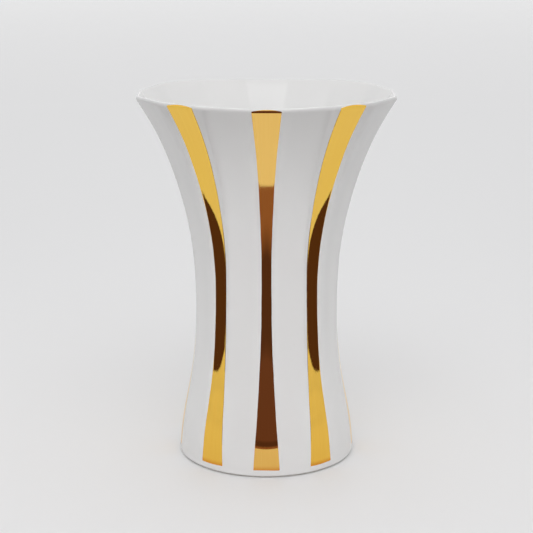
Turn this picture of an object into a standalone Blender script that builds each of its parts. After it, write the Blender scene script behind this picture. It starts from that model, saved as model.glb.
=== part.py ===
"""White porcelain vase with a flared mouth and eight gilt stripes.

The vase stands upright with its origin on the ground at the centre of the foot.
+Z is up and -Y is the front, where one stripe runs down the middle.

The body is one turned and lightly facetted shell.  Each stripe lies in a shallow
channel between two soft ridges, and each white panel between two stripes is a
little flatter than a circle.  The mouth is slightly squared, and the foot is round.
"""

import math

import bmesh
import bpy
import numpy as np

MM = 0.001

# Overall shape, in millimetres: (height, radius) of the outside of the wall.
PROFILE = [
    (0.0, 61.4),
    (8.0, 60.5),
    (18.0, 59.1),
    (30.0, 57.3),
    (46.0, 54.6),
    (66.0, 51.4),
    (90.0, 49.4),
    (115.0, 49.2),
    (140.0, 50.5),
    (165.0, 54.3),
    (188.0, 60.1),
    (210.0, 67.6),
    (230.0, 76.7),
    (250.0, 88.5),
]
HEIGHT = 250.0
SQUARE_START = 0.45        # share of the height where the plan starts to turn square
SQUARE_AT_RIM = 0.036      # how much further out the four corners of the mouth stand
CORNER_RISE = 1.2          # the lip is this much higher at those corners

# Stripes, in degrees around the vase from the front.
STATIONS = [0.0, 50.0, 100.0, 150.0, 200.0, 250.0]
NARROW_HALF = [8.9, 6.4, 4.4, 3.95, 4.95, 6.5]
WIDE_HALF = [8.9, 7.0, 5.8, 6.0, 6.8, 6.8]
FRONT_SIDE_CENTRE = [37.5, 38.8, 39.1, 37.4, 37.6, 37.6]
SIDE_AZIMUTH = 87.0
REAR_SIDE_AZIMUTH = 136.0
RIDGE_BESIDE = [1.2, 1.7, 2.0, 2.2, 2.5, 4.2]        # angle from a stripe's edge to its ridge
CHANNEL_DEPTH = [0.6, 0.8, 1.1, 1.35, 1.6, 1.2]      # of the channel that a stripe lies in
PANEL_FLAT = 0.85          # 0 keeps a panel on the circle, 1 makes it flat
FACETS_START = 12.0        # height where ridges and channels grow out of the round foot
FACETS_FULL = 110.0
FACETS_INSIDE = 0.2        # share of the facets that shows on the inside

# Gilding: thin bands, set flush in the glaze.
BAND_BOTTOM = 4.4
BAND_TOP = 248.5
BAND_THICK = 0.5
GAP = 0.3
EDGE_STEP = 0.12           # run of the small step down into a band's seat

# Wall, floor and foot.
WALL_AT_RIM = 3.0
WALL_AT_FOOT = 5.2
FLOOR_TOP = 10.0
WELL_EDGE = 3.0            # height of the rounding between the floor and the inside wall
WELL_EDGE_RUN = 6.0
WELL_EDGE_START = 1.5
FLOOR_UNDERSIDE = 5.2
UNDERSIDE_DRAFT = 2.0      # the recess under the floor narrows by this much going up
FOOT_HEIGHT = 0.8
FOOT_INSET = 1.6
FOOT_WIDTH = 5.0
FOOT_SHOULDER = 1.0        # rounding where the wall turns under
PANEL_EASE = 1.5           # 1 meets the ridges sharply, more blends into them
PANEL_COLUMNS = [-0.34, 0.34]
ROWS = [12, 24, 38, 54, 72, 92, 112, 132, 152, 170, 186, 200, 212, 222, 231, 239, 245]
INNER_ROWS = [241, 230, 215, 198, 178, 155, 130, 100, 70, 42, 22]
# The lip, from outside to inside: (height below the rim, share of the wall's thickness).
LIP = [(0.9, 0.0), (0.25, 0.18), (0.0, 0.5), (0.35, 0.82), (1.3, 1.0)]
SHARP_ANGLE = 35.0

PORCELAIN = (0.86, 0.86, 0.855, 1.0)
BARE_CLAY = (0.72, 0.70, 0.67, 1.0)
GILT = (0.86, 0.60, 0.22, 1.0)


def clamp(value):
    return max(0.0, min(1.0, value))


def ease(value):
    value = clamp(value)
    return value * value * (3.0 - 2.0 * value)


def smooth_curve(points):
    """The natural cubic spline through the points, as a function."""
    x = [point[0] for point in points]
    y = [point[1] for point in points]
    count = len(points)
    rows = np.eye(count)
    right = np.zeros(count)
    for i in range(1, count - 1):
        before = x[i] - x[i - 1]
        after = x[i + 1] - x[i]
        rows[i, i - 1:i + 2] = (before, 2.0 * (before + after), after)
        right[i] = 6.0 * ((y[i + 1] - y[i]) / after - (y[i] - y[i - 1]) / before)
    bends = np.linalg.solve(rows, right).tolist()

    def value(at):
        i = 0
        while i < count - 2 and at > x[i + 1]:
            i += 1
        run = x[i + 1] - x[i]
        b = (at - x[i]) / run
        a = 1.0 - b
        sag = (a ** 3 - a) * bends[i] + (b ** 3 - b) * bends[i + 1]
        return a * y[i] + b * y[i + 1] + sag * run * run / 6.0

    return value


def curve_at_stations(values):
    return smooth_curve(list(zip(STATIONS, values)))


plain_radius = smooth_curve(PROFILE)
narrow_half = curve_at_stations(NARROW_HALF)
wide_half = curve_at_stations(WIDE_HALF)
front_side_centre = curve_at_stations(FRONT_SIDE_CENTRE)
ridge_angle = curve_at_stations(RIDGE_BESIDE)
channel_depth = curve_at_stations(CHANNEL_DEPTH)


def stripes(height):
    """(centre, half width) of each stripe in degrees, anticlockwise from the front."""
    narrow = narrow_half(height)
    wide = wide_half(height)
    half = [
        (0.0, narrow),
        (front_side_centre(height), wide),
        (SIDE_AZIMUTH, wide),
        (REAR_SIDE_AZIMUTH, wide),
        (180.0, narrow),
    ]
    mirrored = [(360.0 - centre, width) for centre, width in reversed(half[1:4])]
    return half + mirrored


def facet_depth(azimuth, height):
    """How far channels and flattened panels lie inside the plain outline."""
    radius = plain_radius(height)
    strength = ease((height - FACETS_START) / (FACETS_FULL - FACETS_START))
    ridge = ridge_angle(height)
    row = stripes(height)
    azimuth = azimuth % 360.0
    for i, (centre, half) in enumerate(row):
        reach = half + ridge
        off = (azimuth - centre + 180.0) % 360.0 - 180.0
        if abs(off) <= reach:
            return strength * channel_depth(height) * (1.0 - (off / reach) ** 2)
        next_centre, next_half = row[(i + 1) % len(row)]
        start = centre + reach
        width = (next_centre - next_half - ridge - start) % 360.0
        along = (azimuth - start) % 360.0
        if along < width:
            across = 2.0 * along / width - 1.0
            sagitta = radius * (1.0 - math.cos(math.radians(0.5 * width)))
            return strength * PANEL_FLAT * sagitta * (1.0 - across * across) ** PANEL_EASE
    return 0.0


def squared(azimuth, height):
    """1 on the circle, and more towards the four corners of the mouth."""
    share = clamp((height / HEIGHT - SQUARE_START) / (1.0 - SQUARE_START))
    corner = math.sin(math.radians(2.0 * azimuth)) ** 2
    return 1.0 + SQUARE_AT_RIM * share * share * corner


def outside(azimuth, height):
    return plain_radius(height) * squared(azimuth, height) - facet_depth(azimuth, height)


def wall(height):
    return WALL_AT_FOOT + (WALL_AT_RIM - WALL_AT_FOOT) * clamp(height / HEIGHT)


def inside(azimuth, height):
    plain = plain_radius(height) * squared(azimuth, height)
    return plain - FACETS_INSIDE * facet_depth(azimuth, height) - wall(height)


def place(azimuth, radius, height):
    """A point in metres; azimuth 0 is the front, and +90 is to the right, at +X."""
    angle = math.radians(azimuth)
    corner = math.sin(2.0 * angle) ** 2
    lifted = height + CORNER_RISE * corner * clamp(height / HEIGHT) ** 6
    return (radius * math.sin(angle) * MM, -radius * math.cos(angle) * MM, lifted * MM)


def body_columns(height):
    """(azimuth, in a band's seat or not) around the body at one height."""
    columns = []
    ridge = ridge_angle(height)
    row = stripes(height)
    step = math.degrees(EDGE_STEP / plain_radius(height))
    for i, (centre, half) in enumerate(row):
        columns.append((centre - half - ridge, False))
        columns.append((centre - half, False))
        columns.append((centre - half + step, True))
        columns.append((centre, True))
        columns.append((centre + half - step, True))
        columns.append((centre + half, False))
        columns.append((centre + half + ridge, False))
        start = centre + half + ridge
        next_centre, next_half = row[(i + 1) % len(row)]
        width = (next_centre - next_half - ridge - start) % 360.0
        for across in PANEL_COLUMNS:
            columns.append((start + width * (0.5 + 0.5 * across), False))
    return columns


def outer_ring(height, seat_depth, inset=0.0):
    """One ring of the outside, with the bands' seats cut in by seat_depth."""
    ring = []
    for azimuth, in_seat in body_columns(height):
        radius = outside(azimuth, height) - inset
        if in_seat:
            radius -= seat_depth
        ring.append(place(azimuth, radius, height))
    return ring


def inner_ring(height, share=1.0):
    """One ring of the inside; share 0 lies on the outside of the wall."""
    ring = []
    for azimuth, _ in body_columns(height):
        outer = outside(azimuth, height)
        inner = inside(azimuth, height)
        ring.append(place(azimuth, outer + (inner - outer) * share, height))
    return ring


def flat_ring(radius, height):
    return [place(azimuth, radius, height) for azimuth, _ in body_columns(height)]


def loft(name, rings, closed=False):
    """Skin a list of rings; the two end rings are capped, or joined when closed."""
    mesh = bmesh.new()
    loops = [[mesh.verts.new(point) for point in ring] for ring in rings]
    count = len(loops[0])
    pairs = list(zip(loops, loops[1:]))
    if closed:
        pairs.append((loops[-1], loops[0]))
    for lower, upper in pairs:
        for k in range(count):
            after = (k + 1) % count
            mesh.faces.new((lower[k], lower[after], upper[after], upper[k]))
    if not closed:
        mesh.faces.new(list(reversed(loops[0])))
        mesh.faces.new(loops[-1])
    bmesh.ops.triangulate(mesh, faces=mesh.faces)
    bmesh.ops.recalc_face_normals(mesh, faces=mesh.faces)
    data = bpy.data.meshes.new(name)
    mesh.to_mesh(data)
    mesh.free()
    piece = bpy.data.objects.new(name, data)
    bpy.context.scene.collection.objects.link(piece)
    data.shade_smooth()
    data.set_sharp_from_angle(angle=math.radians(SHARP_ANGLE))
    return piece


def finish(piece, name, colour, roughness, metallic=0.0):
    material = bpy.data.materials.new(name)
    material.use_nodes = True
    shader = material.node_tree.nodes["Principled BSDF"]
    shader.inputs["Base Color"].default_value = colour
    shader.inputs["Roughness"].default_value = roughness
    shader.inputs["Metallic"].default_value = metallic
    piece.data.materials.append(material)


def make_body():
    seat = BAND_THICK + GAP
    bottom = FOOT_HEIGHT + GAP
    foot_inside = plain_radius(0.0) - FOOT_INSET - FOOT_WIDTH - GAP
    low_shoulder = 0.3 * FOOT_SHOULDER
    rings = [
        flat_ring(foot_inside - UNDERSIDE_DRAFT, FLOOR_UNDERSIDE),
        flat_ring(foot_inside, bottom),
        outer_ring(bottom, 0.0, inset=FOOT_SHOULDER),
        outer_ring(bottom + low_shoulder, 0.0, inset=low_shoulder),
        outer_ring(bottom + FOOT_SHOULDER, 0.0),
        outer_ring(BAND_BOTTOM - EDGE_STEP, 0.0),
    ]
    for height in [BAND_BOTTOM] + ROWS + [BAND_TOP]:
        rings.append(outer_ring(height, seat))
    rings.append(outer_ring(BAND_TOP + EDGE_STEP, 0.0))
    for drop, share in LIP:
        rings.append(inner_ring(HEIGHT - drop, share))
    for height in INNER_ROWS:
        rings.append(inner_ring(height))
    well = plain_radius(FLOOR_TOP) - wall(FLOOR_TOP)
    rings.append(flat_ring(well - WELL_EDGE_START, FLOOR_TOP + WELL_EDGE))
    rings.append(flat_ring(well - WELL_EDGE_RUN, FLOOR_TOP))
    body = loft("vase_body", rings)
    finish(body, "porcelain", PORCELAIN, 0.12)


def make_foot_ring():
    outer = plain_radius(0.0) - FOOT_INSET
    inner = outer - FOOT_WIDTH
    rings = [
        flat_ring(outer, 0.0),
        flat_ring(outer, FOOT_HEIGHT),
        flat_ring(inner, FOOT_HEIGHT),
        flat_ring(inner, 0.0),
    ]
    foot = loft("foot_ring", rings, closed=True)
    finish(foot, "bare_clay", BARE_CLAY, 0.75)


def band_ring(index, height):
    """Closed outline of one band at one height: along the outside, then back."""
    centre, half = stripes(height)[index]
    side = math.degrees((GAP + EDGE_STEP) / plain_radius(height))
    azimuths = [centre - half + side, centre, centre + half - side]
    front = [place(a, outside(a, height), height) for a in azimuths]
    back = [place(a, outside(a, height) - BAND_THICK, height) for a in reversed(azimuths)]
    return front + back


def make_bands():
    heights = [BAND_BOTTOM + GAP] + ROWS + [BAND_TOP - GAP]
    for index in range(len(stripes(HEIGHT))):
        rings = [band_ring(index, height) for height in heights]
        band = loft("gilt_stripe_%d" % (index + 1), rings)
        finish(band, "gilt_%d" % (index + 1), GILT, 0.18, metallic=1.0)


def clear_scene():
    for item in list(bpy.data.objects):
        bpy.data.objects.remove(item)


clear_scene()
make_body()
make_foot_ring()
make_bands()
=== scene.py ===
"""Looks of a white porcelain vase with eight gilt stripes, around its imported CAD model.

The glazed body, the foot and the gilding are fine meshes whose outline follows the CAD
solids within about a millimetre.  Their lengths are in millimetres until a point is
placed.  The studio is in metres.  Azimuth 0 is the front, at -Y, and +90 is at +X.
"""

import math

import bmesh
import bpy
import numpy as np
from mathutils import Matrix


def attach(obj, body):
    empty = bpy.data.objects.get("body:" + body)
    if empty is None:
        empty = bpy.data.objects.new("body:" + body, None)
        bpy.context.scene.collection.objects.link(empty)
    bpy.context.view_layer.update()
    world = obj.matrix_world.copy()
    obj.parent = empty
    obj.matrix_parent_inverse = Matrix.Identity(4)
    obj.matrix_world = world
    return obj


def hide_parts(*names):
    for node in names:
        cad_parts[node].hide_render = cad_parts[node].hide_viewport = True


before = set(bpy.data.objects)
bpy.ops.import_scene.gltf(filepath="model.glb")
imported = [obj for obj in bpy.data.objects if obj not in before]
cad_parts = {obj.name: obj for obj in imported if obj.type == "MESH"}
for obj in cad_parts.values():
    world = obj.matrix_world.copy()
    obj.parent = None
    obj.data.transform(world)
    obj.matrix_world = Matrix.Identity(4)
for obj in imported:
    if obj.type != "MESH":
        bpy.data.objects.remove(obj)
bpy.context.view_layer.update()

MM = 0.001

# Outline, in millimetres: (height, radius) of the outside of the wall.
PROFILE = [
    (0.0, 61.1), (10.0, 60.25), (20.0, 59.15), (30.0, 57.6), (46.0, 54.6), (66.0, 51.4),
    (90.0, 49.4), (115.0, 49.2), (140.0, 50.5), (165.0, 54.3), (188.0, 60.1), (210.0, 67.6),
    (230.0, 76.7), (250.0, 88.5),
]
HEIGHT = 250.0
SQUARE_START = 0.45
SQUARE_AT_RIM = 0.036
CORNER_RISE = 1.2

# Stripes, in degrees around the vase.
STATIONS = [0.0, 50.0, 100.0, 150.0, 200.0, 250.0]
NARROW_HALF = [8.9, 6.4, 4.4, 3.95, 4.95, 6.5]
WIDE_HALF = [8.9, 7.0, 5.8, 6.0, 6.8, 6.8]
FRONT_SIDE_CENTRE = [37.5, 38.8, 39.1, 37.4, 37.6, 37.6]
SIDE_AZIMUTH = 87.0
REAR_SIDE_AZIMUTH = 136.0
RIDGE_BESIDE = [1.2, 1.7, 2.0, 2.2, 2.5, 4.2]
CHANNEL_DEPTH = [0.6, 1.2, 1.25, 1.35, 1.6, 1.2]
PANEL_FLAT = 0.85
PANEL_EASE = 1.5
FACETS_START = 12.0
FACETS_FULL = 110.0
FACETS_INSIDE = 0.2        # share of the facets that shows on the inside
RIDGE_SOFTNESS = 0.7       # how far the glaze rounds a ridge off, each way
RIDGE_WEIGHTS = [(-1.0, 0.15), (-0.5, 0.22), (0.0, 0.26), (0.5, 0.22), (1.0, 0.15)]

# Columns of the body's mesh, closer together near the stripes.
STRIPE_COLUMNS = 13
RIDGE_COLUMNS = 7
PANEL_COLUMNS = 11
RIDGE_NEAR = 0.25          # the columns round a ridge start and end at these shares of
RIDGE_FAR = 1.75           # the way to it

# Wall, lip, floor and foot.
WALL_AT_RIM = 3.0
WALL_AT_FOOT = 5.2
FLOOR_TOP = 10.0
WELL_EDGE = 6.0
FLOOR_SHARES = [0.6, 0.3, 0.03]
LIP_BLEND = 40.0           # height over which the inside eases into the lip
BODY_BOTTOM = 1.1
UNDER_EDGE = 1.0
FOOT_INSET = 1.6
FOOT_WIDTH = 5.0
FOOT_HEIGHT = 0.8
FOOT_TUCK = 0.3            # the foot reaches this far up into the body
FOOT_EDGE = 0.5
FOOT_SIDES = 160
# The hollow under the floor, from the middle out: (radius, height), then
# (distance out from its edge, height).
HOLLOW_MIDDLE = [(2.0, 5.4), (20.0, 5.4)]
HOLLOW_EDGE = [(-8.0, 5.3), (-3.0, 5.1), (-1.0, 4.2), (-0.3, 3.0), (0.0, 1.6), (0.4, 1.1)]
HOLLOW_CLEARANCE = 0.4
ARC_STEPS = 7
WALL_ROWS = 150
LIP_ROWS = 33
INSIDE_ROWS = 70

# Gilding.
GILT_BOTTOM = 4.6
GILT_PROUD = 0.03
GILT_SUNK = 0.04
GILT_DEPTH = 0.25
GILT_EDGE = 0.05           # share of the half width over which an edge goes under
GILT_END = 0.004
GILT_END_WOBBLE = 0.12
GILT_TOP_DROP = 1.25       # how far the top of a stripe is domed
GILT_OVER_LIP = 3.0        # how far over the lip the gilding goes
GILT_COLUMNS = 31
GILT_ROWS = (200, 50)      # along the wall, and round the lip
GILT_ROUND_LIP = 0.94      # share of a stripe's length where the closer rows start
GILT_LAST_LEVEL = HEIGHT - 1.0
GILT_SEED = (7.0, 3.1)     # of the first stripe, and from one to the next
END_RIPPLE = 2.3
EDGE_RIPPLES = [(0.06, 9.0, 1.0), (0.04, 3.7, 2.0)]      # (size, length, seeds)
SLOPE_STEP = 1.0
NARROW_STRIPES = (0, 4)


def smooth_curve(points):
    """The natural cubic spline through the points, as a function."""
    xs = np.array([point[0] for point in points], float)
    ys = np.array([point[1] for point in points], float)
    step = np.diff(xs)
    rows = np.eye(len(xs))
    right = np.zeros(len(xs))
    for i in range(1, len(xs) - 1):
        rows[i, i - 1:i + 2] = (step[i - 1], 2.0 * (step[i - 1] + step[i]), step[i])
        right[i] = 6.0 * ((ys[i + 1] - ys[i]) / step[i] - (ys[i] - ys[i - 1]) / step[i - 1])
    bends = np.linalg.solve(rows, right)

    def value(at):
        x = np.asarray(at, float)
        i = np.clip(np.searchsorted(xs, x, side="right") - 1, 0, len(xs) - 2)
        run = xs[i + 1] - xs[i]
        after = (x - xs[i]) / run
        before = 1.0 - after
        sag = (before ** 3 - before) * bends[i] + (after ** 3 - after) * bends[i + 1]
        return before * ys[i] + after * ys[i + 1] + sag * run * run / 6.0

    return value


def ease(value):
    value = np.clip(value, 0.0, 1.0)
    return value * value * (3.0 - 2.0 * value)


def curve_at_stations(values):
    return smooth_curve(list(zip(STATIONS, values)))


plain_radius = smooth_curve(PROFILE)
narrow_half = curve_at_stations(NARROW_HALF)
wide_half = curve_at_stations(WIDE_HALF)
front_side_centre = curve_at_stations(FRONT_SIDE_CENTRE)
ridge_angle = curve_at_stations(RIDGE_BESIDE)
channel_depth = curve_at_stations(CHANNEL_DEPTH)


def stripes(height):
    """(centre, half width) of each stripe in degrees, anticlockwise from the front."""
    narrow = narrow_half(height)
    wide = wide_half(height)
    half = [
        (0.0, narrow),
        (front_side_centre(height), wide),
        (SIDE_AZIMUTH, wide),
        (REAR_SIDE_AZIMUTH, wide),
        (180.0, narrow),
    ]
    mirrored = [(360.0 - centre, width) for centre, width in reversed(half[1:4])]
    return half + mirrored


def facet_depth(azimuth, height, radius):
    """How far channels and flattened panels lie inside the plain outline."""
    strength = ease((height - FACETS_START) / (FACETS_FULL - FACETS_START))
    ridge = ridge_angle(height)
    deepest = channel_depth(height)
    row = stripes(height)
    azimuth = np.asarray(azimuth, float) % 360.0
    depth = np.zeros_like(azimuth)
    for i, (centre, half) in enumerate(row):
        reach = half + ridge
        off = (azimuth - centre + 180.0) % 360.0 - 180.0
        channel = deepest * (1.0 - (off / reach) ** 2)
        depth = np.where(np.abs(off) <= reach, channel, depth)
        next_centre, next_half = row[(i + 1) % len(row)]
        start = centre + reach
        width = (next_centre - next_half - ridge - start) % 360.0
        along = (azimuth - start) % 360.0
        across = np.clip(2.0 * along / width - 1.0, -1.0, 1.0)
        sagitta = radius * (1.0 - math.cos(math.radians(0.5 * width)))
        flat = PANEL_FLAT * sagitta * (1.0 - across * across) ** PANEL_EASE
        depth = np.where((along < width) & (np.abs(off) > reach), flat, depth)
    return strength * depth


def squared(azimuth, height):
    share = np.clip((height / HEIGHT - SQUARE_START) / (1.0 - SQUARE_START), 0.0, 1.0)
    return 1.0 + SQUARE_AT_RIM * share * share * np.sin(np.radians(2.0 * azimuth)) ** 2


def soft_depth(azimuth, height):
    """facet_depth with its ridges rounded off, as glaze rounds them."""
    radius = plain_radius(height)
    step = math.degrees(RIDGE_SOFTNESS / radius)
    total = np.zeros_like(azimuth)
    for offset, weight in RIDGE_WEIGHTS:
        total = total + weight * facet_depth(azimuth + offset * step, height, radius)
    return total


def outside(azimuth, height):
    return plain_radius(height) * squared(azimuth, height) - soft_depth(azimuth, height)


def wall(height):
    share = min(max(height / HEIGHT, 0.0), 1.0)
    return WALL_AT_FOOT + (WALL_AT_RIM - WALL_AT_FOOT) * share


def inside(azimuth, height):
    plain = plain_radius(height) * squared(azimuth, height)
    return plain - FACETS_INSIDE * soft_depth(azimuth, height) - wall(height)


def place(azimuth, radius, height):
    """Points in metres."""
    angle = np.radians(azimuth)
    share = np.clip(np.asarray(height, float) / HEIGHT, 0.0, 1.0)
    lifted = height + CORNER_RISE * np.sin(2.0 * angle) ** 2 * share ** 6
    x = radius * np.sin(angle)
    y = -radius * np.cos(angle)
    return np.stack([x, y, lifted + 0.0 * x], axis=-1) * MM


# The lip bends over in two arcs: a wide one outside and a tight one on top and inside.
RIM_SLOPE_FROM = HEIGHT - 5.0
RIM_SLOPE_TO = HEIGHT - 2.0
RIM_SLOPE_OUT = plain_radius(RIM_SLOPE_TO) - plain_radius(RIM_SLOPE_FROM)
RIM_SLOPE = math.atan2(RIM_SLOPE_OUT, RIM_SLOPE_TO - RIM_SLOPE_FROM)
LIP_WIDE = 2.6
LIP_CHANGE = math.radians(25.0)
LIP_THICK = WALL_AT_RIM * math.cos(RIM_SLOPE)
WIDE_TAKES = LIP_WIDE * (1.0 - math.cos(RIM_SLOPE + LIP_CHANGE))
LIP_TIGHT = (LIP_THICK - WIDE_TAKES) / (1.0 + math.cos(RIM_SLOPE + LIP_CHANGE))
WIDE_LENGTH = LIP_WIDE * (RIM_SLOPE + LIP_CHANGE)
WIDE_RISE = LIP_WIDE * (math.sin(LIP_CHANGE) + math.sin(RIM_SLOPE))
LIP_RISE = WIDE_RISE + LIP_TIGHT * (1.0 - math.sin(LIP_CHANGE))
LIP_START = HEIGHT - LIP_RISE
LIP_LENGTH = WIDE_LENGTH + LIP_TIGHT * (math.pi - RIM_SLOPE - LIP_CHANGE)
GILT_TOP = LIP_START + GILT_OVER_LIP


def lip_shift(along):
    """(out, up, tilt) from the start of the lip, at distances along its section."""
    wide = np.clip(along, 0.0, WIDE_LENGTH) / LIP_WIDE - RIM_SLOPE
    tight = np.maximum(along - WIDE_LENGTH, 0.0) / LIP_TIGHT + LIP_CHANGE
    out = LIP_WIDE * (np.cos(wide) - math.cos(RIM_SLOPE))
    out = out + LIP_TIGHT * (np.cos(tight) - math.cos(LIP_CHANGE))
    up = LIP_WIDE * (np.sin(wide) + math.sin(RIM_SLOPE))
    up = up + LIP_TIGHT * (np.sin(tight) - math.sin(LIP_CHANGE))
    tilt = np.where(along < WIDE_LENGTH, wide, tight)
    return out, up, tilt


def columns(height):
    """Azimuths around the body at one height, closer together near the stripes."""
    ridge = ridge_angle(height)
    row = stripes(height)
    found = []
    for i, (centre, half) in enumerate(row):
        found.extend(centre + half * np.linspace(-1.0, 1.0, STRIPE_COLUMNS))
        found.extend(centre + half + ridge * np.linspace(RIDGE_NEAR, RIDGE_FAR, RIDGE_COLUMNS))
        next_centre, next_half = row[(i + 1) % len(row)]
        start = centre + half + RIDGE_FAR * ridge
        width = (next_centre - next_half - RIDGE_FAR * ridge - start) % 360.0
        found.extend(start + width * np.linspace(0.0, 1.0, PANEL_COLUMNS)[1:-1])
        found.extend(start + width + ridge * np.linspace(0.0, RIDGE_FAR - RIDGE_NEAR, RIDGE_COLUMNS))
    return np.array(found)


def new_object(name, points, faces, uvs=None):
    mesh = bpy.data.meshes.new(name)
    mesh.from_pydata([tuple(p) for p in points], [], faces)
    mesh.update()
    bm = bmesh.new()
    bm.from_mesh(mesh)
    bmesh.ops.recalc_face_normals(bm, faces=bm.faces)
    bm.to_mesh(mesh)
    bm.free()
    if uvs is not None:
        layer = mesh.uv_layers.new(name="UVMap")
        index = np.zeros(len(mesh.loops), int)
        mesh.loops.foreach_get("vertex_index", index)
        layer.data.foreach_set("uv", np.asarray(uvs, np.float32)[index].ravel())
    mesh.shade_smooth()
    obj = bpy.data.objects.new(name, mesh)
    bpy.context.scene.collection.objects.link(obj)
    return obj


def loft(rings, close_rows=False, caps=False):
    """Points and faces of a skin through rings of equal length."""
    count = len(rings[0])
    points = np.concatenate(rings)
    faces = []
    rows = len(rings)
    last = rows if close_rows else rows - 1
    for i in range(last):
        a = i * count
        b = ((i + 1) % rows) * count
        for k in range(count):
            j = (k + 1) % count
            faces.append((a + k, a + j, b + j, b + k))
    if caps:
        faces.append(tuple(reversed(range(count))))
        faces.append(tuple(range((rows - 1) * count, rows * count)))
    return points, faces


def finish_piece(obj, material, slot, *nodes):
    obj.data.materials.append(material)
    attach(obj, "root")
    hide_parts(*nodes)


def under_rings(base):
    """The underside: the hollow under the floor, then the wall's lower edge."""
    rings = [place(base, radius, height) for radius, height in HOLLOW_MIDDLE]
    edge = plain_radius(0.0) - FOOT_INSET - FOOT_WIDTH - HOLLOW_CLEARANCE
    for out, height in HOLLOW_EDGE:
        rings.append(place(base, edge + out, height))
    for angle in np.linspace(0.0, 0.5 * math.pi, ARC_STEPS):
        height = BODY_BOTTOM + UNDER_EDGE * (1.0 - math.cos(angle))
        azimuth = columns(height)
        radius = outside(azimuth, height) - UNDER_EDGE * (1.0 - math.sin(angle))
        rings.append(place(azimuth, radius, height))
    return rings


def wall_rings():
    """The outside, the lip and the inside, down to the well."""
    rings = []
    for height in np.linspace(BODY_BOTTOM + UNDER_EDGE, LIP_START, WALL_ROWS)[1:]:
        azimuth = columns(height)
        rings.append(place(azimuth, outside(azimuth, height), height))
    rim = columns(LIP_START)
    rim_radius = outside(rim, LIP_START)
    for along in np.linspace(0.0, LIP_LENGTH, LIP_ROWS)[1:]:
        out, up, _ = lip_shift(along)
        rings.append(place(rim, rim_radius + out, LIP_START + up))
    top = float(LIP_START + up)
    top_gap = rim_radius + out - inside(rim, top)
    for height in np.linspace(top, FLOOR_TOP + WELL_EDGE, INSIDE_ROWS)[1:]:
        azimuth = columns(height)
        fade = ease(1.0 - (top - height) / LIP_BLEND)
        rings.append(place(azimuth, inside(azimuth, height) + top_gap * fade, height))
    return rings


def well_rings(base):
    """The rounded edge of the well, and its floor."""
    rings = []
    well = inside(base, FLOOR_TOP + WELL_EDGE)
    for angle in np.linspace(0.0, 0.5 * math.pi, ARC_STEPS)[1:]:
        height = FLOOR_TOP + WELL_EDGE * (1.0 - math.sin(angle))
        rings.append(place(base, well - WELL_EDGE * (1.0 - math.cos(angle)), height))
    for share in FLOOR_SHARES:
        rings.append(place(base, (well - WELL_EDGE) * share, FLOOR_TOP))
    return rings


def make_body(material):
    base = columns(0.0)
    points, faces = loft(under_rings(base) + wall_rings() + well_rings(base), caps=True)
    body = new_object("glazed_body", points, faces)
    finish_piece(body, material, "porcelain", "vase_body")


def make_foot(material):
    outer = plain_radius(0.0) - FOOT_INSET
    inner = outer - FOOT_WIDTH
    top = FOOT_HEIGHT + FOOT_TUCK
    corners = [
        (outer - FOOT_EDGE, FOOT_EDGE, -90.0),
        (outer - FOOT_EDGE, top - FOOT_EDGE, 0.0),
        (inner + FOOT_EDGE, top - FOOT_EDGE, 90.0),
        (inner + FOOT_EDGE, FOOT_EDGE, 180.0),
    ]
    around = np.linspace(0.0, 360.0, FOOT_SIDES + 1)[:-1]
    rings = []
    for radius, height, first in corners:
        for turn in np.linspace(first, first + 90.0, 4):
            out = FOOT_EDGE * math.cos(math.radians(turn))
            up = FOOT_EDGE * math.sin(math.radians(turn))
            rings.append(place(around, radius + out, height + up))
    points, faces = loft(rings, close_rows=True)
    foot = new_object("unglazed_foot", points, faces)
    finish_piece(foot, material, "bare_clay", "foot_ring")


def path_normal(along):
    """Outward normal (radial, up) of the wall or lip at distances up the wall."""
    low = plain_radius(np.maximum(along - SLOPE_STEP, 0.0))
    high = plain_radius(along + SLOPE_STEP)
    on_wall = -np.arctan2(high - low, 2.0 * SLOPE_STEP)
    tilt = np.where(along <= LIP_START, on_wall, lip_shift(along - LIP_START)[2])
    return np.cos(tilt), np.sin(tilt)


def gilt_surface(azimuth, along):
    """(radius, height) on the outside at distances up the wall, and on over the lip."""
    level = float(min(along.mean(), LIP_START))
    height = np.minimum(along, LIP_START)
    plain = plain_radius(height)
    wall_radius = plain * squared(azimuth, height) - soft_depth(azimuth, level)
    out, up, _ = lip_shift(np.maximum(along - LIP_START, 0.0))
    return wall_radius + out, height + up


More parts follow.
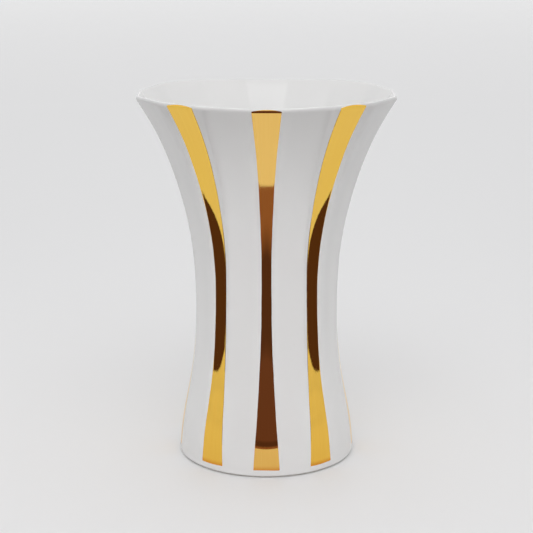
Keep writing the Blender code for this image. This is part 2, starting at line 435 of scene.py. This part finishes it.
def make_gilding(index, material):
    """One stripe of gilding: a thin skin whose edges go just under the glaze."""
    seed = GILT_SEED[0] + GILT_SEED[1] * index
    across = np.linspace(-1.0, 1.0, GILT_COLUMNS)
    on_wall = np.linspace(0.0, GILT_ROUND_LIP, GILT_ROWS[0])[:-1]
    shares = np.concatenate([on_wall, np.linspace(GILT_ROUND_LIP, 1.0, GILT_ROWS[1])])
    low = GILT_BOTTOM + GILT_END_WOBBLE * np.cos(END_RIPPLE * across + seed)
    high = GILT_TOP - GILT_TOP_DROP * across ** 2
    edge = 1.0 - ease((1.0 - np.abs(across)) / GILT_EDGE)
    rings = []
    uvs = []
    for share in shares:
        along = low + (high - low) * share
        level = min(float(along.mean()), GILT_LAST_LEVEL)
        centre, half = stripes(level)[index]
        wobble = sum(size * math.sin(level / length + seeds * seed) for size, length, seeds in EDGE_RIPPLES)
        azimuth = centre + half * across + np.degrees(wobble / plain_radius(level)) * across ** 3
        radius, height = gilt_surface(azimuth, along)
        out, up = path_normal(along)
        at_end = ease(min(share, 1.0 - share) / GILT_END)
        proud = GILT_PROUD * (1.0 - edge) * at_end - GILT_SUNK * (1.0 - (1.0 - edge) * at_end)
        front = place(azimuth, radius + proud * out, height + proud * up)
        back = place(azimuth, radius - GILT_DEPTH * out, height - GILT_DEPTH * up)
        rings.append(np.concatenate([front, back[::-1]]))
        uv = np.stack([0.5 + 0.5 * across, along / HEIGHT], axis=-1)
        uvs.extend([uv, uv[::-1]])
    points, faces = loft(rings, caps=True)
    skin = new_object("gilding_%d" % (index + 1), points, faces, np.concatenate(uvs))
    finish_piece(skin, material, "gilding", "gilt_stripe_%d" % (index + 1))


def node(tree, kind, **settings):
    made = tree.nodes.new(kind)
    for key, value in settings.items():
        setattr(made, key, value)
    return made


def new_material(name):
    material = bpy.data.materials.new(name)
    material.use_nodes = True
    tree = material.node_tree
    shader = tree.nodes["Principled BSDF"]
    return material, tree, shader


def noise(tree, vector, scale, detail=3.0, roughness=0.5):
    made = node(tree, "ShaderNodeTexNoise")
    made.inputs["Scale"].default_value = scale
    made.inputs["Detail"].default_value = detail
    made.inputs["Roughness"].default_value = roughness
    tree.links.new(vector, made.inputs["Vector"])
    return made.outputs["Fac"]


def multiply(tree, first, second):
    """One colour times another."""
    made = node(tree, "ShaderNodeMix", data_type="RGBA", blend_type="MULTIPLY")
    made.inputs["Factor"].default_value = 1.0
    colours = [socket for socket in made.inputs if socket.type == "RGBA"]
    tree.links.new(first, colours[0])
    tree.links.new(second, colours[1])
    return [socket for socket in made.outputs if socket.type == "RGBA"][0]


def ramp(tree, value, stops):
    made = node(tree, "ShaderNodeValToRGB")
    elements = made.color_ramp.elements
    while len(elements) < len(stops):
        elements.new(0.5)
    for element, (position, colour) in zip(elements, stops):
        element.position = position
        element.color = tuple(colour) + (1.0,)
    tree.links.new(value, made.inputs["Fac"])
    return made.outputs["Color"]


def spread(tree, value, low, high):
    """Maps a 0..1 noise value to low..high."""
    made = node(tree, "ShaderNodeMapRange")
    made.inputs["From Min"].default_value = 0.25
    made.inputs["From Max"].default_value = 0.75
    made.inputs["To Min"].default_value = low
    made.inputs["To Max"].default_value = high
    tree.links.new(value, made.inputs["Value"])
    return made.outputs["Result"]


def bump(tree, height, distance, strength=1.0, normal=None):
    made = node(tree, "ShaderNodeBump")
    made.inputs["Distance"].default_value = distance
    made.inputs["Strength"].default_value = strength
    tree.links.new(height, made.inputs["Height"])
    if normal is not None:
        tree.links.new(normal, made.inputs["Normal"])
    return made.outputs["Normal"]


def porcelain():
    material, tree, shader = new_material("glazed_porcelain")
    where = node(tree, "ShaderNodeTexCoord").outputs["Object"]
    clouds = noise(tree, where, 9.0, detail=2.0)
    tone = ramp(tree, clouds, [(0.3, (0.812, 0.813, 0.808)), (0.7, (0.832, 0.830, 0.823))])
    specks = noise(tree, where, 900.0, detail=1.0)
    white = (1.0, 1.0, 1.0)
    speck_tone = ramp(tree, specks, [(0.0, white), (0.79, white), (0.83, (0.93, 0.92, 0.90))])
    tree.links.new(multiply(tree, tone, speck_tone), shader.inputs["Base Color"])
    gloss = noise(tree, where, 45.0, detail=3.0)
    tree.links.new(spread(tree, gloss, 0.07, 0.12), shader.inputs["Roughness"])
    slow = noise(tree, where, 28.0, detail=1.0)
    fine = noise(tree, where, 420.0, detail=2.0)
    normal = bump(tree, slow, 0.00025)
    normal = bump(tree, fine, 0.000006, normal=normal)
    tree.links.new(normal, shader.inputs["Normal"])
    shader.inputs["IOR"].default_value = 1.52
    return material


def bare_clay():
    material, tree, shader = new_material("ground_unglazed_foot")
    where = node(tree, "ShaderNodeTexCoord").outputs["Object"]
    grain = noise(tree, where, 600.0, detail=6.0, roughness=0.7)
    tone = ramp(tree, grain, [(0.3, (0.62, 0.60, 0.56)), (0.7, (0.78, 0.76, 0.72))])
    tree.links.new(tone, shader.inputs["Base Color"])
    shader.inputs["Roughness"].default_value = 0.78
    tree.links.new(bump(tree, grain, 0.00008), shader.inputs["Normal"])
    return material


# Gilding: (hair noise, red, green, blue), and the tints at the stripes' edges and low end: the side edges
# darker and redder, the low end painted shade, darker and redder, standing in for the darker reflection of
# its rounded end.
GILT_TONES = [(0.3, 0.93, 0.575, 0.135), (0.55, 0.965, 0.615, 0.150), (0.75, 0.985, 0.655, 0.185)]
NARROW_BLUE = 1.1
WIDE_BLUE = 0.72
GILT_EDGE_TINT = [(0.0, (1.0, 1.0, 1.0)), (0.455, (1.0, 1.0, 1.0)), (0.5, (0.86, 0.62, 0.42))]
# Painted shade: the lowest few millimetres of each stripe are coloured darker and redder, standing in for
# the darker reflection of the stripe's rounded end.
GILT_LOW_PAINTED_SHADE = [
    (0.0, (0.80, 0.50, 0.30)),
    (0.0235, (0.86, 0.60, 0.42)),
    (0.033, (0.98, 0.92, 0.82)),
    (0.4, (1.0, 1.0, 1.0)),
]


def gilding(index):
    material, tree, shader = new_material("bright_gilding_%d" % (index + 1))
    uv = node(tree, "ShaderNodeTexCoord").outputs["UV"]
    apart = node(tree, "ShaderNodeMapping")
    apart.inputs["Location"].default_value = (3.7 * index, 1.3 * index, 0.0)
    apart.inputs["Scale"].default_value = (1.0, 0.55, 1.0)
    tree.links.new(uv, apart.inputs["Vector"])
    strokes = noise(tree, apart.outputs["Vector"], 30.0, detail=4.0, roughness=0.6)
    stretched = node(tree, "ShaderNodeMapping")
    stretched.inputs["Location"].default_value = (5.1 * index, 0.0, 0.0)
    stretched.inputs["Scale"].default_value = (1.0, 0.06, 1.0)
    tree.links.new(uv, stretched.inputs["Vector"])
    hairs = noise(tree, stretched.outputs["Vector"], 60.0, detail=5.0, roughness=0.65)
    blue = NARROW_BLUE if index in NARROW_STRIPES else WIDE_BLUE
    tone = ramp(tree, hairs, [(at, (red, green, base * blue)) for at, red, green, base in GILT_TONES])
    split = node(tree, "ShaderNodeSeparateXYZ")
    tree.links.new(uv, split.inputs["Vector"])
    centred = node(tree, "ShaderNodeMath", operation="SUBTRACT")
    tree.links.new(split.outputs["X"], centred.inputs[0])
    centred.inputs[1].default_value = 0.5
    side = node(tree, "ShaderNodeMath", operation="ABSOLUTE")
    tree.links.new(centred.outputs["Value"], side.inputs[0])
    # The side edges get a darker, redder tint. The low end gets painted shade, darker and redder, standing
    # in for the darker reflection of its rounded end.
    edge = ramp(tree, side.outputs["Value"], GILT_EDGE_TINT)
    up = ramp(tree, split.outputs["Y"], GILT_LOW_PAINTED_SHADE)
    edge_tint_and_low_painted_shade = multiply(tree, edge, up)
    tree.links.new(multiply(tree, tone, edge_tint_and_low_painted_shade), shader.inputs["Base Color"])
    tree.links.new(spread(tree, strokes, 0.02, 0.04), shader.inputs["Roughness"])
    normal = bump(tree, hairs, 0.0000015)
    normal = bump(tree, strokes, 0.000004, normal=normal)
    tree.links.new(normal, shader.inputs["Normal"])
    shader.inputs["Metallic"].default_value = 1.0
    return material


# Studio, in metres: a pale floor that runs off into a pale world, dark cards that only
# reflections see, and dim cards that only diffuse light sees.
WORLD_TONE = (0.84, 0.84, 0.845)
FLOOR_TONE = (0.85, 0.85, 0.853, 1.0)
FLOOR_RINGS = [1.0, 200.0, 600.0, 2000.0, 6000.0, 16000.0]      # in millimetres
FLOOR_SIDES = 96
FLOOR_FADE = (2.0, 9.0)    # where the floor starts and ends fading into the world
DARK_NEAR = (0.262, 0.129, 0.102)
DARK_FAR = (0.082, 0.038, 0.035)
DARK_ROOM = (0.127, 0.058, 0.062)
DIM_GROUND = (0.25, 0.25, 0.25)
DIM_SIDE = (0.33, 0.33, 0.33)

# The dark ground in front: its right half from above, and its colours from its far end
# to the end nearest the vase.
TABLE_FRONT = -0.243
DARK_GROUND = [(0.0, TABLE_FRONT), (0.26, TABLE_FRONT), (1.5, -1.2), (3.2, -2.4), (3.2, -3.5), (0.0, -3.5)]
GROUND_SPAN = (-2.6, -0.24)
GROUND_STOPS = [
    (0.0, DARK_ROOM),
    (0.8, DARK_ROOM),
    (0.9, DARK_FAR),
    (0.966, DARK_FAR),
    (0.9864, DARK_NEAR),
    (1.0, DARK_NEAR),
]
CARD_LIFT = 0.0006         # the cards on the floor lie this much above it

# The front card: half width, place in Y, lowest and highest edge.
ROOM_SIDE = 1.5
ROOM_AT = -1.6
ROOM_LOW = -0.1
ROOM_HIGH = 0.7
DIM_LOW = 0.16             # the dim cards' lowest edge
DIM_SIDE_AT = 1.2
DIM_SIDE_WALL = [(-1.2, DIM_LOW), (0.8, DIM_LOW), (0.8, 0.8), (-1.2, 0.8)]
DIM_GROUND_RING = (330.0, 3000.0)      # in millimetres
DIM_GROUND_SIDES = 48

# The dark card beside the vase, which the stripe facing it mirrors as a long dark lens:
# the (y, z) of its rounded end, from the top down, in millimetres, and how far forward
# it runs.
SIDE_CARD_AT = 0.12
SIDE_CARD_END = [
    (-64, 131),
    (-63, 125),
    (-55, 121),
    (-42, 116),
    (-34, 107),
    (-31, 93),
    (-29, 79),
    (-38, 67),
    (-48, 63),
    (-58, 59),
    (-61, 57),
]
SIDE_CARD_STEPS = 41
SIDE_CARD_FRONT = -0.150
SIDE_CARD_TOP = 0.133
SIDE_CARD_BOTTOM = 0.0565


def make_world():
    world = bpy.data.worlds.new("pale_studio")
    bpy.context.scene.world = world
    world.use_nodes = True
    shade = world.node_tree.nodes["Background"]
    shade.inputs["Color"].default_value = WORLD_TONE + (1.0,)
    shade.inputs["Strength"].default_value = 1.0


def make_floor():
    rings = []
    around = np.linspace(0.0, 360.0, FLOOR_SIDES + 1)[:-1]
    for radius in FLOOR_RINGS:
        rings.append(place(around, radius, 0.0))
    points, faces = loft(rings)
    faces.append(tuple(reversed(range(FLOOR_SIDES))))
    floor = new_object("studio_floor", points, faces)
    material, tree, shader = new_material("pale_floor")
    where = node(tree, "ShaderNodeTexCoord").outputs["Object"]
    shader.inputs["Base Color"].default_value = FLOOR_TONE
    shader.inputs["Roughness"].default_value = 0.55
    shader.inputs["Specular IOR Level"].default_value = 0.2
    span = node(tree, "ShaderNodeVectorMath", operation="LENGTH")
    tree.links.new(where, span.inputs[0])
    far = node(tree, "ShaderNodeMapRange")
    far.inputs["From Min"].default_value = FLOOR_FADE[0]
    far.inputs["From Max"].default_value = FLOOR_FADE[1]
    tree.links.new(span.outputs["Value"], far.inputs["Value"])
    clear = node(tree, "ShaderNodeBsdfTransparent")
    mix = node(tree, "ShaderNodeMixShader")
    tree.links.new(far.outputs["Result"], mix.inputs["Fac"])
    tree.links.new(shader.outputs["BSDF"], mix.inputs[1])
    tree.links.new(clear.outputs["BSDF"], mix.inputs[2])
    tree.links.new(mix.outputs["Shader"], tree.nodes["Material Output"].inputs["Surface"])
    floor.data.materials.append(material)


def emitter(name, axis, stops, span):
    """A glow from one face only, whose colour changes along an axis, in metres."""
    material = bpy.data.materials.new(name)
    material.use_nodes = True
    tree = material.node_tree
    tree.nodes.clear()
    where = node(tree, "ShaderNodeTexCoord").outputs["Object"]
    split = node(tree, "ShaderNodeSeparateXYZ")
    tree.links.new(where, split.inputs["Vector"])
    scaled = node(tree, "ShaderNodeMapRange")
    scaled.inputs["From Min"].default_value = span[0]
    scaled.inputs["From Max"].default_value = span[1]
    tree.links.new(split.outputs[axis], scaled.inputs["Value"])
    colour = ramp(tree, scaled.outputs["Result"], stops)
    glow = node(tree, "ShaderNodeEmission")
    tree.links.new(colour, glow.inputs["Color"])
    face = node(tree, "ShaderNodeNewGeometry")
    clear = node(tree, "ShaderNodeBsdfTransparent")
    mix = node(tree, "ShaderNodeMixShader")
    tree.links.new(face.outputs["Backfacing"], mix.inputs["Fac"])
    tree.links.new(glow.outputs["Emission"], mix.inputs[1])
    tree.links.new(clear.outputs["BSDF"], mix.inputs[2])
    out = node(tree, "ShaderNodeOutputMaterial")
    tree.links.new(mix.outputs["Shader"], out.inputs["Surface"])
    return material


def plain_emitter(name, colour):
    return emitter(name, "Z", [(0.0, colour), (1.0, colour)], (0.0, 1.0))


def make_card(name, corners, material, glossy=False, diffuse=False):
    """A flat card that the camera doesn't see.

    It glows on the side from which its corners turn anticlockwise.
    """
    mesh = bpy.data.meshes.new(name)
    mesh.from_pydata([tuple(corner) for corner in corners], [], [tuple(range(len(corners)))])
    card = bpy.data.objects.new(name, mesh)
    bpy.context.scene.collection.objects.link(card)
    mesh.materials.append(material)
    card.visible_camera = False
    card.visible_shadow = False
    card.visible_transmission = False
    card.visible_glossy = glossy
    card.visible_diffuse = diffuse
    return card


def side_card_outline():
    """(y, z) round the dark card beside the vase, in metres."""
    curve_y = smooth_curve([(i, point[0]) for i, point in enumerate(SIDE_CARD_END)])
    curve_z = smooth_curve([(i, point[1]) for i, point in enumerate(SIDE_CARD_END)])
    along = np.linspace(0.0, len(SIDE_CARD_END) - 1.0, SIDE_CARD_STEPS)
    end = list(zip(curve_y(along) * MM, curve_z(along) * MM))
    return [(SIDE_CARD_FRONT, SIDE_CARD_TOP)] + end + [(SIDE_CARD_FRONT, SIDE_CARD_BOTTOM)]


def front_wall(low):
    """Corners of the front card, facing the vase."""
    return [
        (ROOM_SIDE, ROOM_AT, low),
        (-ROOM_SIDE, ROOM_AT, low),
        (-ROOM_SIDE, ROOM_AT, ROOM_HIGH),
        (ROOM_SIDE, ROOM_AT, ROOM_HIGH),
    ]


def make_cards():
    ground = emitter("dark_ground", "Y", GROUND_STOPS, GROUND_SPAN)
    left = [(-x, y, CARD_LIFT) for x, y in DARK_GROUND]
    right = [(x, y, CARD_LIFT) for x, y in reversed(DARK_GROUND)]
    make_card("dark_ground_left", left, ground, glossy=True)
    make_card("dark_ground_right", right, ground, glossy=True)
    room = plain_emitter("dark_room", DARK_ROOM)
    make_card("dark_room_front", front_wall(ROOM_LOW), room, glossy=True)
    make_card("dim_room_front", front_wall(DIM_LOW), room, diffuse=True)
    beside = plain_emitter("dark_side", DARK_FAR)
    outline = side_card_outline()
    make_card("dark_side_right", [(SIDE_CARD_AT, y, z) for y, z in outline], beside, glossy=True)
    make_card("dark_side_left", [(-SIDE_CARD_AT, y, z) for y, z in reversed(outline)], beside, glossy=True)
    side = plain_emitter("dim_side", DIM_SIDE)
    right = [(DIM_SIDE_AT, y, z) for y, z in reversed(DIM_SIDE_WALL)]
    left = [(-DIM_SIDE_AT, y, z) for y, z in DIM_SIDE_WALL]
    make_card("dim_side_right", right, side, diffuse=True)
    make_card("dim_side_left", left, side, diffuse=True)
    ground = plain_emitter("dim_ground", DIM_GROUND)
    near, far = DIM_GROUND_RING
    around = np.linspace(0.0, 360.0, DIM_GROUND_SIDES + 1)
    for k, (a, b) in enumerate(zip(around, around[1:])):
        corners = place(np.array([a, b, b, a]), np.array([near, near, far, far]), CARD_LIFT / MM)
        make_card("dim_ground_%d" % k, [tuple(c) for c in corners][::-1], ground, diffuse=True)


def make_lamp(name, azimuth, elevation, distance, size, energy, glossy=False, spread=180.0, aim=0.2):
    """A rectangular lamp that points at the vase's axis, at height aim."""
    data = bpy.data.lights.new(name, "AREA")
    data.shape = "RECTANGLE"
    data.size, data.size_y = size
    data.energy = energy
    data.spread = math.radians(spread)
    lamp = bpy.data.objects.new(name, data)
    across, rise = math.radians(azimuth), math.radians(elevation)
    out = distance * math.cos(rise)
    lamp.location = (out * math.sin(across), -out * math.cos(across), aim + distance * math.sin(rise))
    lamp.rotation_euler = (math.radians(90.0 - elevation), 0.0, across)
    lamp.visible_camera = False
    lamp.visible_glossy = glossy
    bpy.context.scene.collection.objects.link(lamp)


def make_lights():
    make_lamp("key_softbox", 0.0, 52.0, 1.5, (1.2, 1.0), 5.0)
    make_lamp("front_grid", 0.0, 0.0, 1.2, (0.8, 0.05), 0.09, spread=18.0, aim=0.15)
    make_lamp("window_left", -12.0, 51.0, 1.3, (0.25, 0.5), 0.5, glossy=True)
    make_lamp("window_right", 4.0, 51.0, 1.3, (0.10, 0.5), 0.2, glossy=True)


CAMERA_AT = (0.0, -0.92243, 0.35621)
CAMERA_DOWN = 13.746       # degrees below level
CAMERA_LENS = 93.245       # for a frame 36 mm wide


def make_camera():
    data = bpy.data.cameras.new("camera")
    data.lens = CAMERA_LENS
    data.sensor_width = 36.0
    data.clip_end = 60.0
    camera = bpy.data.objects.new("camera", data)
    camera.location = CAMERA_AT
    camera.rotation_euler = (math.radians(90.0 - CAMERA_DOWN), 0.0, 0.0)
    bpy.context.scene.collection.objects.link(camera)
    bpy.context.scene.camera = camera


bpy.context.scene.view_settings.view_transform = "Standard"
make_camera()
make_body(porcelain())
make_foot(bare_clay())
for stripe in range(len(stripes(HEIGHT))):
    make_gilding(stripe, gilding(stripe))
make_world()
make_floor()
make_cards()
make_lights()
